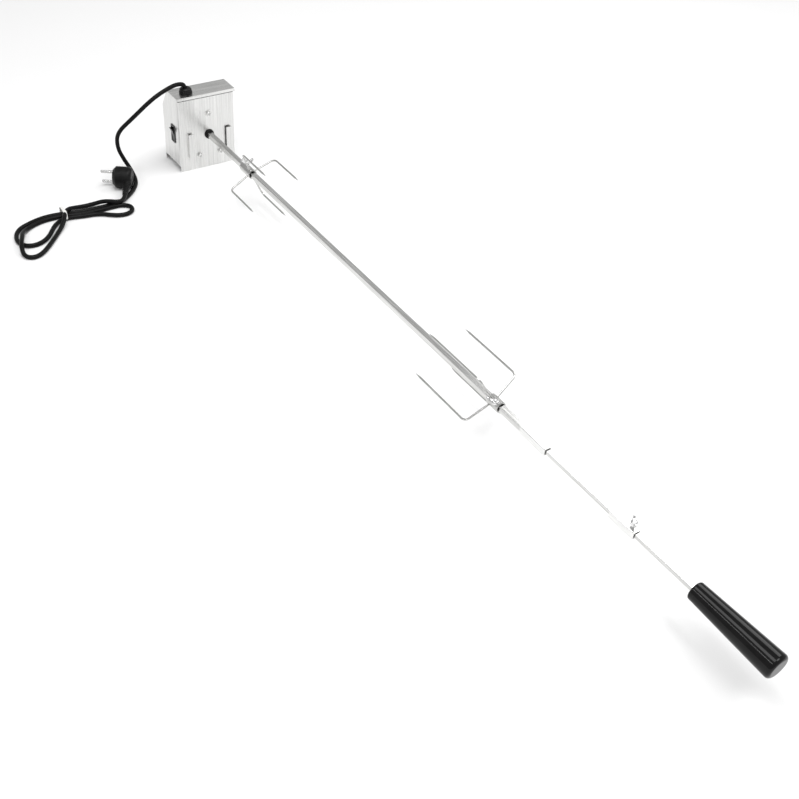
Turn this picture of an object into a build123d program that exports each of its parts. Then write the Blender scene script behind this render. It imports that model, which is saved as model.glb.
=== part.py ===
"""Rotisserie spit roaster: a sheet-steel geared motor, a square spit with a black handle,
two four-prong meat forks, a stop bush, and a mains cord bundled beside the case.

Frame: X runs along the spit from the motor to the handle, Z is up, and the origin is on the
spit's axis in the outer face of the case's front plate.  Millimetres."""
import math
import os

from build123d import *

os.makedirs("parts", exist_ok=True)

# ---------------------------------------------------------------- case
sheet = 1.0                # stainless sheet of the case
case_width = 100.0
case_shift = -3.5          # the case's middle, measured across from the spit's axis
case_top = 70.0            # top edge of the front plate and sides
side_bottom = -48.0        # bottom edge of the two sides
foot_drop = 10.0           # how far the front and back plates reach below the sides
depth_low = 56.0           # depth of the sides below the slanted back
depth_top = 36.0           # depth of the sides under the lid
slant_low = 38.5           # height where the back starts to slant
bend = 3.0                 # outer radius of the front plate's vertical bends
side_return = 10.0         # width of the sides' inward returns at the back
lid_gap = 0.2              # between the lid's lips and the walls
lip_drop = 5.0             # how far the lid's lips reach down
lip_slot = 1.5             # open slot between the front lip and the front plate's top edge
guide_half = 38.5          # spit's axis to the outer edge of a bracket guide
guide_width = 9.0
guide_gap = 3.0            # between the front plate and a guide's lip
guide_low = -34.0
guide_high = 7.0
guide_gauge = 1.2
case_screw_r = 1.5
case_screw_low = -38.0
case_screw_high = 28.0
small_head = 1.8           # height of a small screw's head
small_head_ratio = 1.9     # its head's radius over its thread's
base_flange = 8.0          # height of the base plate's upturned edges

# ---------------------------------------------------------------- gearbox
plate = 2.0                # thickness of the two gear plates
post_length = 21.0         # clear space between the gear plates
post_r = 4.0
post_top = (0.0, 36.5)
post_low_y = 18.5
post_low_z = -34.3
thread_r = 2.0             # M4 screws of the gearbox
thread_gap = 0.05
screw_hole_gap = 0.2       # radial room of a screw in the sheet it passes through
screw_depth = 7.0          # thread held in a post
head_r = 3.9
head_high = 2.6
head_round = 1.1
cross_long = 4.6           # the cross recess in a gearbox screw's head
cross_wide = 1.0
cross_deep = 1.3
washer_r = 5.5
washer_thick = 1.0
shaft_gap = 0.05           # radial clearance of every running shaft
hub_nose_r = 7.7
hub_nose_out = 2.5         # how far the hub stands out of the front plate
hub_r = 10.0
hub_tail_r = 5.0
nose_hole_r = 8.5          # hole for the hub's nose in the front plate
end_play = 0.2             # axial play of each turning piece between the plates
output_module = 1.25
train_module = 0.6
wheel_teeth = 48
pinion_teeth = 12
output_face = 6.0          # face width of the output gear
train_face = 4.0           # face width of the two train wheels
layer_gap = 0.8            # between neighbouring gear layers
second_angle = 50.0        # direction from the output axis to the second gear
first_angle = -80.0        # direction from the second gear to the first gear
rotor_angle = -120.0       # direction from the first gear to the rotor
spindle_r = 1.5
sleeve_r = 3.0

# ---------------------------------------------------------------- motor
can_r = 24.0
can_depth = 19.0
can_wall = 1.0
ear_r = 4.0
ear_reach = 27.0           # motor's axis to a mounting ear's screw
ear_thick = 1.2
coil_in_r = 13.6
coil_out_r = 22.6
pole_in_r = 12.4
pole_out_r = 13.4
pole_count = 12
pole_slot = 1.4
magnet_r = 11.8
air_end = 1.6              # free space at each end of the coil and magnet
ear_screw_r = 1.5

# ---------------------------------------------------------------- switch, on the left side
switch_x = -21.0
switch_z = 3.0
bezel_tall = 30.0
bezel_wide = 13.5
bezel_out = 1.5
switch_tall = 26.8
switch_wide = 11.8
switch_deep = 15.0
cutout_gap = 0.1
rocker_tall = 21.6
rocker_wide = 9.2
rocker_gap = 0.3
rocker_out = 3.4           # how far the rocker stands out of the side
rocker_deep = 6.0
rocker_pivot_in = 3.0      # pivot behind the side's outer face
rocker_pin_r = 1.0
rocker_tilt = 11.0         # tilt either side of level
terminal_long = 6.5
terminal_wide = 4.8
terminal_thick = 0.8
terminal_drop = 8.0        # lower terminal, below the switch's middle
terminal_rise = 4.0        # upper terminal, above it

# ---------------------------------------------------------------- cable gland, on the lid
gland_x = -14.0
gland_y = -31.0
gland_flange_r = 10.5
gland_flange = 4.0
gland_neck_r = 7.5
gland_neck = 10.0          # neck below the lid's top
gland_nut_r = 9.5
gland_nut = 6.0
gland_nut_round = 3.0
gland_lip = 1.2            # the nut's inner lip over the seal
locknut_r = 10.0
locknut_thick = 4.0
seal_r = 5.6

# ---------------------------------------------------------------- spit
rod = 8.0                  # side of the square spit
socket_gap = 0.1           # gap on each side of the spit in the drive socket
rod_start = -20.0          # motor end of the spit
rod_point = 8.0            # length of its ground point
socket_deep = 24.0
tube = 10.5                # outside of the square tube for the sleeve and the bush
sleeve_start = 815.0
sleeve_length = 44.5
sleeve_lap = 38.0          # spit's length held in the sleeve
thin = 6.0                 # side of the thin square rod
spigot_r = 2.25
spigot_length = 18.0
edge_round = 0.5
handle_start = 1090.0
handle_length = 110.0
handle_small_r = 11.2
handle_large_r = 15.4
handle_bore = 94.0

# ---------------------------------------------------------------- forks
collar_r = 7.5
collar_bore_r = 6.0
collar_lead = 5.0          # collar in front of the prongs' roots
wire_r = 1.5
arm_reach = 42.4           # spit's axis to a prong
arm_lean = 5.0             # how far an arm leans towards the points
prong_bend = 8.0
point_length = 9.0
prong_count = 4
fork_1_x = 145.0
fork_1_turn = -24.0        # a prong's angle from up, towards +Y
fork_1_prong = 73.0
fork_1_collar = 30.0       # length of its collar
fork_1_screw_turn = 0.0
fork_1_wing_turn = 70.0
fork_2_x = 758.0
fork_2_turn = -31.5
fork_2_prong = 103.0
fork_2_collar = 20.5
fork_2_screw_turn = -40.0
fork_2_wing_turn = 20.0
screw_behind = 11.0        # prongs' roots to the wing screw

# ---------------------------------------------------------------- wing screws and bush
wing_thread_r = 2.5
wing_thread_gap = 0.05
wing_boss_r = 4.0
wing_boss = 5.0
wing_span = 19.0
wing_high = 9.0
wing_thick = 2.4
wing_root = 1.5            # where a wing grows from the boss
wing_root_low = 0.8
wing_knee = 5.5
wing_tip_low = 4.5
wing_clear = 4.0           # collar's surface to the underside of the screw's boss
tip_gap = 0.3              # screw's tip to the rod
bush_start = 968.0
bush_length = 37.5
bush_screw_x = 998.0
bush_wall = 1.2
bush_wing_turn = 140.0

# ---------------------------------------------------------------- cord and plug
cord_d = 6.6
lead_d = 2.4
hank_thick = 15.0
tie_wide = 4.0
tie_thick = 1.0
plug_centre = (-0.4, -158.0)
plug_heading = -122.0      # compass direction of the pins, from +X towards +Y
plug_r = 17.0
plug_front = 11.0          # plug's middle to its front face
plug_back = 19.0
plug_round = 6.0
plug_bevel = 4.7           # bevel around the plug's front face
plug_exit = 13.0           # plug's middle back to the line of its cord
plug_dip = 8.0             # how far the plug's cord end points down
plug_neck = 2.5            # the plug's neck beyond its round body
pin_seat = 6.0             # pins' length inside the plug
pin_seat_r = 2.0           # their radius there
pin_r = 2.4
pin_length = 19.0
pin_pitch = 19.0
relief_root_r = 6.0
relief_step = 1.0          # step from the plug's neck down to the relief
relief_tip_over = 0.6      # relief's tip radius beyond the cord's
relief_length = 25.0
sheath_end = 72.0          # where the cord's sheath ends inside the gland

# ---------------------------------------------------------------- worked out from the above
floor = side_bottom - foot_drop
case_left = case_shift - case_width / 2
case_right = case_shift + case_width / 2
front_plate_back = -sheet
gear_plate_front = front_plate_back - plate
gear_plate_rear = gear_plate_front - post_length
gear_plate_back = gear_plate_rear - plate
posts = [post_top, (-post_low_y, post_low_z), (post_low_y, post_low_z)]
output_reach = output_module * (wheel_teeth + pinion_teeth) / 2
train_reach = train_module * (wheel_teeth + pinion_teeth) / 2
cord_r = cord_d / 2
lid_top = case_top + sheet
case_screws = [(y, z) for y in (case_left + side_return / 2, case_right - side_return / 2)
               for z in (case_screw_low, case_screw_high)]
plug_centre_z = floor + plug_r


def step_off(start, angle, reach):
    """The point at a distance and direction from another, in the YZ plane."""
    turn = math.radians(angle)
    return (start[0] + reach * math.cos(turn), start[1] + reach * math.sin(turn))


second_axis = step_off((0.0, 0.0), second_angle, output_reach)
first_axis = step_off(second_axis, first_angle, train_reach)
rotor_axis = step_off(first_axis, rotor_angle, train_reach)
ears = [step_off(rotor_axis, turn, ear_reach) for turn in (135.0, -45.0)]

# gear layers, from the front gear plate backwards
output_front = gear_plate_front - 1.2
output_back = output_front - output_face
second_front = output_back - layer_gap
second_back = second_front - train_face
first_front = second_back - layer_gap
first_back = first_front - train_face


def across(x, y=0.0, z=0.0):
    """A sketch plane across the spit: local x is Y, local y is Z, and its normal is +X."""
    return Plane(origin=(x, y, z), x_dir=(0, 1, 0), z_dir=(1, 0, 0))


def sheet_outline(path, gauge):
    """The closed outline of a bent sheet: its path and the path moved gauge to the right."""
    moved = []
    for i, here in enumerate(path):
        sides = []
        for a, b in ((i - 1, i), (i, i + 1)):
            if a < 0 or b >= len(path):
                continue
            run = Vector(path[b][0] - path[a][0], path[b][1] - path[a][1]).normalized()
            sides.append(Vector(run.Y, -run.X))
        middle = sides[0] if len(sides) == 1 else (sides[0] + sides[1]).normalized()
        reach = gauge / middle.dot(sides[0])
        moved.append((here[0] + middle.X * reach, here[1] + middle.Y * reach))
    return path + moved[::-1]


def gear_points(teeth, module, turn):
    """A gear's outline: involute flanks with backlash, one tooth centred on the angle turn."""
    pitch_r = teeth * module / 2
    base_r = pitch_r * math.cos(math.radians(20))
    root_r = pitch_r - 1.25 * module
    tip_r = pitch_r + 0.9 * module
    backlash = 0.08 * module
    half_at_pitch = (math.pi * module / 2 - backlash) / 2 / pitch_r

    def involute(r):
        if r <= base_r:
            return 0.0
        slope = math.acos(base_r / r)
        return math.tan(slope) - slope

    def half_angle(r):
        return half_at_pitch + involute(pitch_r) - involute(r)

    flank = [root_r, max(base_r, root_r + 0.1 * module), pitch_r, tip_r]
    points = []
    for tooth in range(teeth):
        middle = math.radians(turn) + tooth * 2 * math.pi / teeth
        rising = [(r, middle - half_angle(r)) for r in flank]
        falling = [(r, middle + half_angle(r)) for r in reversed(flank)]
        points += [(r * math.cos(a), r * math.sin(a)) for r, a in rising + falling]
    return points


def save(piece, name):
    """Label a finished piece and write its STEP file."""
    piece.part.label = name
    export_step(piece.part, f"parts/{name}.step")


# ================================================================ case
with BuildPart() as front_shell:
    with BuildSketch(Plane.XY.offset(floor)) as plan:
        with Locations((-depth_low / 2, case_shift)):
            Rectangle(depth_low, case_width)
        fillet(plan.vertices().group_by(Axis.X)[-1], bend)
        with Locations((-depth_low / 2, case_shift)):
            Rectangle(depth_low - 2 * sheet, case_width - 2 * sheet, mode=Mode.SUBTRACT)
        with Locations((-depth_low, case_shift)):
            Rectangle(4 * sheet, case_width - 2 * side_return, mode=Mode.SUBTRACT)
    extrude(amount=case_top - floor)
    # the sides stop above the front plate's foot
    with BuildSketch(Plane.XY.offset(floor)):
        with Locations((-sheet - depth_low / 2, case_shift)):
            Rectangle(depth_low, case_width + 2)
    extrude(amount=foot_drop, mode=Mode.SUBTRACT)
    # the front plate's top edge stops below the lid's front lip
    with BuildSketch(Plane.XY.offset(case_top + sheet - lip_drop - lip_slot)):
        with Locations((0, case_shift)):
            Rectangle(2 * bend, case_width + 2)
    extrude(amount=lip_drop + lip_slot, mode=Mode.SUBTRACT)
    # the slanted back
    with BuildSketch(Plane.XZ.offset(-case_shift)):
        Polygon((-depth_low, slant_low), (-depth_top, case_top), (-depth_top, case_top + 9),
                (-depth_low - 9, case_top + 9), (-depth_low - 9, slant_low), align=None)
    extrude(amount=case_width, both=True, mode=Mode.SUBTRACT)
    with BuildSketch(across(-sheet - 1)):
        Circle(nose_hole_r)
        with Locations(*posts):
            Circle(thread_r + screw_hole_gap)
    extrude(amount=sheet + 3, mode=Mode.SUBTRACT)
    with BuildSketch(across(-depth_low - 1)):
        with Locations(*case_screws):
            Circle(case_screw_r)
    extrude(amount=sheet + 2, mode=Mode.SUBTRACT)
    with BuildSketch(Plane(origin=(switch_x, case_left - 1, switch_z), x_dir=(1, 0, 0),
                           z_dir=(0, 1, 0))):
        Rectangle(switch_wide + 2 * cutout_gap, switch_tall + 2 * cutout_gap)
    extrude(amount=sheet + 2, mode=Mode.SUBTRACT)
save(front_shell, "front_shell")

back_path = [(lid_gap, case_top - lip_drop + sheet), (lid_gap, case_top), (-depth_top, case_top),
             (-depth_low, slant_low), (-depth_low, floor)]
with BuildPart() as rear_cover:
    with BuildSketch(Plane.XZ.offset(-case_shift)):
        Polygon(*sheet_outline(back_path, sheet), align=None)
    extrude(amount=case_width / 2, both=True)
    # the lid's two side lips
    lid_length = depth_top + lid_gap + sheet
    for side in (-1, 1):
        edge = case_shift + side * (case_width / 2 + (lid_gap + sheet) / 2)
        with BuildSketch(Plane.XY.offset(case_top)):
            with Locations((lid_gap + sheet - lid_length / 2, edge)):
                Rectangle(lid_length, lid_gap + sheet)
        extrude(amount=sheet)
        lip = case_shift + side * (case_width / 2 + lid_gap + sheet / 2)
        with BuildSketch(Plane.XY.offset(case_top - lip_drop + sheet)):
            with Locations((lid_gap + sheet - lid_length / 2, lip)):
                Rectangle(lid_length, sheet)
        extrude(amount=lip_drop)
    with BuildSketch(Plane.XY.offset(case_top - 1)):
        with Locations((gland_x, gland_y)):
            Circle(gland_neck_r + screw_hole_gap)
    extrude(amount=sheet + 2, mode=Mode.SUBTRACT)
    with BuildSketch(across(-depth_low - sheet - 1)):
        with Locations(*case_screws):
            Circle(case_screw_r + screw_hole_gap)
    extrude(amount=sheet + 2, mode=Mode.SUBTRACT)
save(rear_cover, "rear_cover")

with BuildPart() as base_plate:
    base_front = -sheet - lid_gap
    base_length = depth_low - 2 * sheet - 2 * lid_gap
    base_width = case_width - 2 * sheet - 2 * lid_gap
    with BuildSketch(Plane.XY.offset(side_bottom)):
        with Locations((base_front - base_length / 2, case_shift)):
            Rectangle(base_length, base_width)
    extrude(amount=base_flange)
    with BuildSketch(Plane.XY.offset(side_bottom + sheet)):
        with Locations((base_front - base_length / 2, case_shift)):
            Rectangle(base_length + 2, base_width - 2 * sheet)
    extrude(amount=base_flange, mode=Mode.SUBTRACT)
    fillet(base_plate.edges().filter_by(Axis.X).group_by(Axis.Z)[0], 0.8)
save(base_plate, "base_plate")

with BuildPart() as bracket_guides:
    for side in (-1, 1):
        with BuildSketch(Plane.XY.offset(guide_low)):
            with BuildLine():
                lip_out = guide_gap + guide_gauge
                outer = side * guide_half
                Polyline((0, outer), (lip_out, outer), (lip_out, outer - side * guide_width),
                         (guide_gap, outer - side * guide_width),
                         (guide_gap, outer - side * guide_gauge), (0, outer - side * guide_gauge),
                         close=True)
            make_face()
        extrude(amount=guide_high - guide_low)
    fillet(bracket_guides.edges().filter_by(Axis.Z).group_by(Axis.X)[-1].group_by(Axis.Y)[0]
           + bracket_guides.edges().filter_by(Axis.Z).group_by(Axis.X)[-1].group_by(Axis.Y)[-1],
           guide_gauge * 0.8)
save(bracket_guides, "bracket_guides")

with BuildPart() as case_rear_screws:
    for y, z in case_screws:
        with BuildSketch(across(-depth_low - sheet, y, z)):
            Circle(case_screw_r * small_head_ratio)
        extrude(amount=-small_head)
        with BuildSketch(across(-depth_low - sheet, y, z)):
            Circle(case_screw_r - thread_gap)
        extrude(amount=6.0)
    fillet(case_rear_screws.faces().sort_by(Axis.X)[0:4].edges(), 0.6)
    for y, z in case_screws:
        with BuildSketch(across(-depth_low - sheet - small_head, y, z)):
            Rectangle(0.7 * cross_long, 0.7 * cross_wide)
            Rectangle(0.7 * cross_wide, 0.7 * cross_long)
        extrude(amount=small_head / 2, mode=Mode.SUBTRACT)
save(case_rear_screws, "case_rear_screws")

# ================================================================ gearbox fixings
with BuildPart() as front_washers:
    for y, z in posts:
        with BuildSketch(across(0, y, z)):
            Circle(washer_r)
            Circle(thread_r + screw_hole_gap, mode=Mode.SUBTRACT)
        extrude(amount=washer_thick)
save(front_washers, "front_washers")

with BuildPart() as front_screws:
    for y, z in posts:
        with BuildSketch(across(washer_thick, y, z)):
            Circle(head_r)
        extrude(amount=head_high)
    fillet(front_screws.faces().group_by(Axis.X)[-1].edges(), head_round)
    for y, z in posts:
        with BuildSketch(across(gear_plate_front - screw_depth, y, z)):
            Circle(thread_r - thread_gap)
        extrude(amount=screw_depth - gear_plate_front + washer_thick)
        with BuildSketch(across(washer_thick + head_high, y, z)):
            Rectangle(cross_long, cross_wide)
            Rectangle(cross_wide, cross_long)
        extrude(amount=-cross_deep, mode=Mode.SUBTRACT)
save(front_screws, "front_screws")

with BuildPart() as gear_posts:
    for y, z in posts:
        with BuildSketch(across(gear_plate_front, y, z)):
            Circle(post_r)
        extrude(amount=-post_length)
        for face, way in ((gear_plate_front, -1), (gear_plate_rear, 1)):
            with BuildSketch(across(face, y, z)):
                Circle(thread_r)
            extrude(amount=way * (screw_depth + 1), mode=Mode.SUBTRACT)
save(gear_posts, "gear_posts")

# both gear plates share one outline
plate_corners = [(-8, 44), (30, 44), (42, 34), (42, -32), (27, -43), (-27, -43), (-27, -27)]
with BuildPart() as front_gear_plate:
    with BuildSketch(across(front_plate_back)) as outline:
        Polygon(*plate_corners, align=None)
        fillet(outline.vertices(), 4)
        Circle(hub_nose_r + shaft_gap, mode=Mode.SUBTRACT)
        with Locations(*posts):
            Circle(thread_r + screw_hole_gap, mode=Mode.SUBTRACT)
        with Locations(second_axis):
            Circle(spindle_r, mode=Mode.SUBTRACT)
    extrude(amount=-plate)
save(front_gear_plate, "gear_plate_front")

with BuildPart() as rear_gear_plate:
    with BuildSketch(across(gear_plate_rear)) as outline:
        Polygon(*plate_corners, align=None)
        fillet(outline.vertices(), 4)
        Circle(hub_tail_r + shaft_gap, mode=Mode.SUBTRACT)
        with Locations(*posts):
            Circle(thread_r + screw_hole_gap, mode=Mode.SUBTRACT)
        with Locations(second_axis, first_axis):
            Circle(spindle_r, mode=Mode.SUBTRACT)
        with Locations(rotor_axis):
            Circle(spindle_r + shaft_gap, mode=Mode.SUBTRACT)
        with Locations(*ears):
            Circle(ear_screw_r, mode=Mode.SUBTRACT)
    extrude(amount=-plate)
save(rear_gear_plate, "gear_plate_rear")

with BuildPart() as gear_plate_screws:
    for y, z in posts:
        with BuildSketch(across(gear_plate_back, y, z)):
            Circle(head_r)
        extrude(amount=-head_high)
    fillet(gear_plate_screws.faces().group_by(Axis.X)[0].edges(), head_round)
    for y, z in posts:
        with BuildSketch(across(gear_plate_back - 0.1, y, z)):
            Circle(thread_r - thread_gap)
        extrude(amount=plate + screw_depth + 0.1)
save(gear_plate_screws, "gear_plate_screws")

with BuildPart() as gear_spindles:
    with BuildSketch(across(gear_plate_back, *second_axis)):
        Circle(spindle_r)
    extrude(amount=front_plate_back - gear_plate_back)
    with BuildSketch(across(gear_plate_back, *first_axis)):
        Circle(spindle_r)
    extrude(amount=output_back - layer_gap - gear_plate_back)
save(gear_spindles, "gear_spindles")

# ================================================================ gear train
with BuildPart() as output_hub:
    hub_front = gear_plate_front - end_play
    hub_back = gear_plate_rear + end_play
    with BuildSketch(across(hub_nose_out)):
        Circle(hub_nose_r)
    extrude(amount=hub_front - hub_nose_out)
    with BuildSketch(across(hub_front)):
        Circle(hub_r)
    extrude(amount=hub_back - hub_front)
    with BuildSketch(across(hub_back)):
        Circle(hub_tail_r)
    extrude(amount=gear_plate_back - hub_back)
    socket_side = rod + 2 * socket_gap
    with BuildSketch(across(hub_nose_out)):
        Rectangle(socket_side, socket_side)
    extrude(amount=-socket_deep, mode=Mode.SUBTRACT)
    mouth = output_hub.faces().sort_by(Axis.X)[-1]
    chamfer(mouth.outer_wire().edges(), 0.6)
save(output_hub, "output_hub")

with BuildPart() as output_gear:
    with BuildSketch(across(output_back)):
        Polygon(*gear_points(wheel_teeth, output_module, second_angle), align=None)
        Circle(hub_r, mode=Mode.SUBTRACT)
    extrude(amount=output_face)
save(output_gear, "output_gear")

with BuildPart() as second_gear:
    with BuildSketch(across(second_back, *second_axis)):
        Polygon(*gear_points(wheel_teeth, train_module, first_angle), align=None)
    extrude(amount=train_face)
    with BuildSketch(across(output_back - layer_gap, *second_axis)):
        second_turn = second_angle + 180 + 180 / pinion_teeth
        Polygon(*gear_points(pinion_teeth, output_module, second_turn), align=None)
    extrude(amount=output_face + layer_gap)
    with BuildSketch(across(gear_plate_rear + end_play, *second_axis)):
        Circle(sleeve_r)
    extrude(amount=post_length - 2 * end_play)
    with BuildSketch(across(gear_plate_rear, *second_axis)):
        Circle(spindle_r + shaft_gap)
    extrude(amount=post_length, mode=Mode.SUBTRACT)
save(second_gear, "second_gear")

first_end = output_back - layer_gap
with BuildPart() as first_gear:
    with BuildSketch(across(first_back, *first_axis)):
        Polygon(*gear_points(wheel_teeth, train_module, rotor_angle), align=None)
    extrude(amount=train_face)
    with BuildSketch(across(first_front, *first_axis)):
        first_turn = first_angle + 180 + 180 / pinion_teeth
        Polygon(*gear_points(pinion_teeth, train_module, first_turn), align=None)
    extrude(amount=first_end - first_front)
    with BuildSketch(across(gear_plate_rear + end_play, *first_axis)):
        Circle(sleeve_r)
    extrude(amount=first_back - gear_plate_rear - end_play)
    with BuildSketch(across(gear_plate_rear, *first_axis)):
        Circle(spindle_r + shaft_gap)
    extrude(amount=first_end - gear_plate_rear, mode=Mode.SUBTRACT)
save(first_gear, "first_gear")

# ================================================================ motor
can_end = gear_plate_back - can_depth
with BuildPart() as motor_can:
    with BuildSketch(across(gear_plate_back, *rotor_axis)):
        Circle(can_r)
    extrude(amount=-can_depth)
    fillet(motor_can.faces().sort_by(Axis.X)[0].edges(), 2.0)
    with BuildSketch(across(gear_plate_back, *rotor_axis)):
        Circle(can_r - can_wall)
    extrude(amount=can_wall - can_depth, mode=Mode.SUBTRACT)
    for ear in ears:
        with BuildSketch(across(gear_plate_back)):
            with BuildLine():
                way = Vector(ear[0] - rotor_axis[0], ear[1] - rotor_axis[1]).normalized()
                side = Vector(-way.Y, way.X) * ear_r
                root = Vector(*rotor_axis) + way * (can_r - 0.6)
                tip = Vector(*ear)
                Line(root - side, tip - side)
                SagittaArc(tip - side, tip + side, -ear_r)
                Line(tip + side, root + side)
                Line(root + side, root - side)
            make_face()
            with Locations(tip):
                Circle(ear_screw_r + screw_hole_gap, mode=Mode.SUBTRACT)
        extrude(amount=-ear_thick)
    with BuildSketch(across(can_end - 1, *rotor_axis)):
        Circle(spindle_r + shaft_gap)
    extrude(amount=can_wall + 2, mode=Mode.SUBTRACT)
    # the leads' way in
    with BuildSketch(Plane(origin=(gear_plate_back - can_depth / 2, rotor_axis[0] - can_r - 2,
                                   rotor_axis[1]), x_dir=(1, 0, 0), z_dir=(0, 1, 0))):
        Rectangle(lead_d + 1, 2 * lead_d + 1.4)
    extrude(amount=4, mode=Mode.SUBTRACT)
save(motor_can, "motor_can")

stack_front = gear_plate_back - air_end
stack_length = can_depth - can_wall - 2 * air_end
with BuildPart() as stator_coil:
    with BuildSketch(across(stack_front, *rotor_axis)):
        Circle(coil_out_r)
        Circle(coil_in_r, mode=Mode.SUBTRACT)
    extrude(amount=-stack_length)
    with BuildSketch(across(stack_front - 1.2, *rotor_axis)):
        Circle(coil_out_r + 1)
        Circle(coil_out_r - 2.2, mode=Mode.SUBTRACT)
    extrude(amount=2.4 - stack_length, mode=Mode.SUBTRACT)
    with BuildSketch(across(stack_front - 1.2, *rotor_axis)):
        Circle(coil_out_r - 0.6)
        Circle(coil_out_r - 2.2, mode=Mode.SUBTRACT)
    extrude(amount=2.4 - stack_length)
save(stator_coil, "stator_coil")

with BuildPart() as stator_poles:
    with BuildSketch(across(gear_plate_back, *rotor_axis)):
        Circle(pole_out_r)
        Circle(pole_in_r, mode=Mode.SUBTRACT)
    extrude(amount=can_wall - can_depth)
    with BuildSketch(across(stack_front - 2, *rotor_axis)):
        with PolarLocations(pole_out_r, pole_count):
            Rectangle(pole_out_r, pole_slot)
        Circle(pole_in_r - 2, mode=Mode.SUBTRACT)
    extrude(amount=4 - stack_length, mode=Mode.SUBTRACT)
save(stator_poles, "stator_poles")

with BuildPart() as motor_screws:
    for y, z in ears:
        with BuildSketch(across(gear_plate_back - ear_thick, y, z)):
            Circle(ear_screw_r * small_head_ratio)
        extrude(amount=-small_head)
        with BuildSketch(across(gear_plate_back - ear_thick - 0.1, y, z)):
            Circle(ear_screw_r - thread_gap)
        extrude(amount=ear_thick + plate + 0.6)
save(motor_screws, "motor_screws")

with BuildPart() as rotor_shaft:
    with BuildSketch(across(can_end - 1.0, *rotor_axis)):
        Circle(spindle_r)
    extrude(amount=first_front + 1.0 - can_end + 1.0)
save(rotor_shaft, "rotor_shaft")

with BuildPart() as rotor_pinion:
    with BuildSketch(across(first_back - 0.2, *rotor_axis)):
        rotor_turn = rotor_angle + 180 + 180 / pinion_teeth
        Polygon(*gear_points(pinion_teeth, train_module, rotor_turn), align=None)
        Circle(spindle_r, mode=Mode.SUBTRACT)
    extrude(amount=train_face + 0.4)
save(rotor_pinion, "rotor_pinion")

with BuildPart() as rotor_magnet:
    with BuildSketch(across(stack_front - 0.6, *rotor_axis)):
        Circle(magnet_r)
        Circle(spindle_r, mode=Mode.SUBTRACT)
    extrude(amount=1.2 - stack_length)
    fillet(rotor_magnet.edges().filter_by(GeomType.CIRCLE).group_by(SortBy.RADIUS)[-1], 0.6)
save(rotor_magnet, "rotor_magnet")

# ================================================================ rocker switch
def into_side(y):
    """A sketch plane on the left side: local x is X, local y is -Z, and its normal is +Y."""
    return Plane(origin=(switch_x, y, switch_z), x_dir=(1, 0, 0), z_dir=(0, 1, 0))


rocker_half = rocker_tall / 2
pivot_y = case_left + rocker_pivot_in
swing_r = math.hypot(rocker_half, rocker_out + rocker_pivot_in)
with BuildPart() as switch_body:
    with BuildSketch(into_side(case_left - bezel_out)):
        RectangleRounded(bezel_wide, bezel_tall, 1.5)
    extrude(amount=bezel_out)
    fillet(switch_body.faces().sort_by(Axis.Y)[0].edges(), 0.7)
    with BuildSketch(into_side(case_left)):
        Rectangle(switch_wide, switch_tall)
    extrude(amount=switch_deep)
    with BuildSketch(into_side(case_left - bezel_out)):
        Rectangle(rocker_wide + 2 * rocker_gap, 2 * (swing_r + rocker_gap))
    extrude(amount=bezel_out + rocker_pivot_in + rocker_deep + 2, mode=Mode.SUBTRACT)
    with BuildSketch(Plane(origin=(switch_x - switch_wide, pivot_y, switch_z), x_dir=(0, 1, 0),
                           z_dir=(1, 0, 0))):
        Circle(rocker_pin_r + shaft_gap)
    extrude(amount=2 * switch_wide, mode=Mode.SUBTRACT)
save(switch_body, "switch_body")

with BuildPart() as switch_rocker:
    # drawn level, then tipped to its off side about the pivot pins
    level = Plane(origin=(switch_x - rocker_wide / 2, pivot_y, switch_z), x_dir=(0, 1, 0),
                  z_dir=(1, 0, 0)).rotated((rocker_tilt, 0, 0))
    face_y = -(rocker_out + rocker_pivot_in) * math.cos(math.radians(rocker_tilt))
    with BuildSketch(level):
        with BuildLine():
            Polyline((face_y, rocker_half), (rocker_deep - 3, rocker_half * 0.86), (rocker_deep, 3),
                     (rocker_deep, -3), (rocker_deep - 3, -rocker_half * 0.86),
                     (face_y, -rocker_half))
            ThreePointArc((face_y, -rocker_half), (face_y + 1.6, 0), (face_y, rocker_half))
        make_face()
    extrude(amount=rocker_wide)
    fillet(switch_rocker.faces().sort_by(Axis.Y)[0].edges().filter_by(GeomType.CIRCLE), 0.5)
    with BuildSketch(Plane(origin=(switch_x - switch_wide / 2 + 0.1, pivot_y, switch_z),
                           x_dir=(0, 1, 0), z_dir=(1, 0, 0))):
        Circle(rocker_pin_r)
    extrude(amount=switch_wide - 0.2)
save(switch_rocker, "switch_rocker")

with BuildPart() as switch_terminals:
    for z in (switch_z - terminal_drop, switch_z + terminal_rise):
        with BuildSketch(Plane(origin=(switch_x, case_left + switch_deep, z), x_dir=(1, 0, 0),
                               z_dir=(0, 1, 0))):
            Rectangle(terminal_wide, terminal_thick)
        extrude(amount=terminal_long)
save(switch_terminals, "switch_terminals")

# ================================================================ cable gland
def on_gland(z):
    """A sketch plane across the gland's axis."""
    return Plane.XY.offset(z).shift_origin((gland_x, gland_y, z))


with BuildPart() as gland_body:
    with BuildSketch(on_gland(lid_top)):
        Circle(gland_flange_r)
    extrude(amount=gland_flange)
    fillet(gland_body.edges(), 0.8)
    with BuildSketch(on_gland(lid_top - gland_neck)):
        Circle(gland_neck_r)
    extrude(amount=gland_neck + gland_flange)
    with BuildSketch(on_gland(lid_top - gland_neck)):
        Circle(cord_r)
    extrude(amount=gland_neck + gland_flange, mode=Mode.SUBTRACT)
save(gland_body, "gland_body")

with BuildPart() as gland_locknut:
    with BuildSketch(on_gland(case_top - locknut_thick)):
        RegularPolygon(locknut_r, 6)
        Circle(gland_neck_r, mode=Mode.SUBTRACT)
    extrude(amount=locknut_thick)
save(gland_locknut, "gland_locknut")

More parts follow.
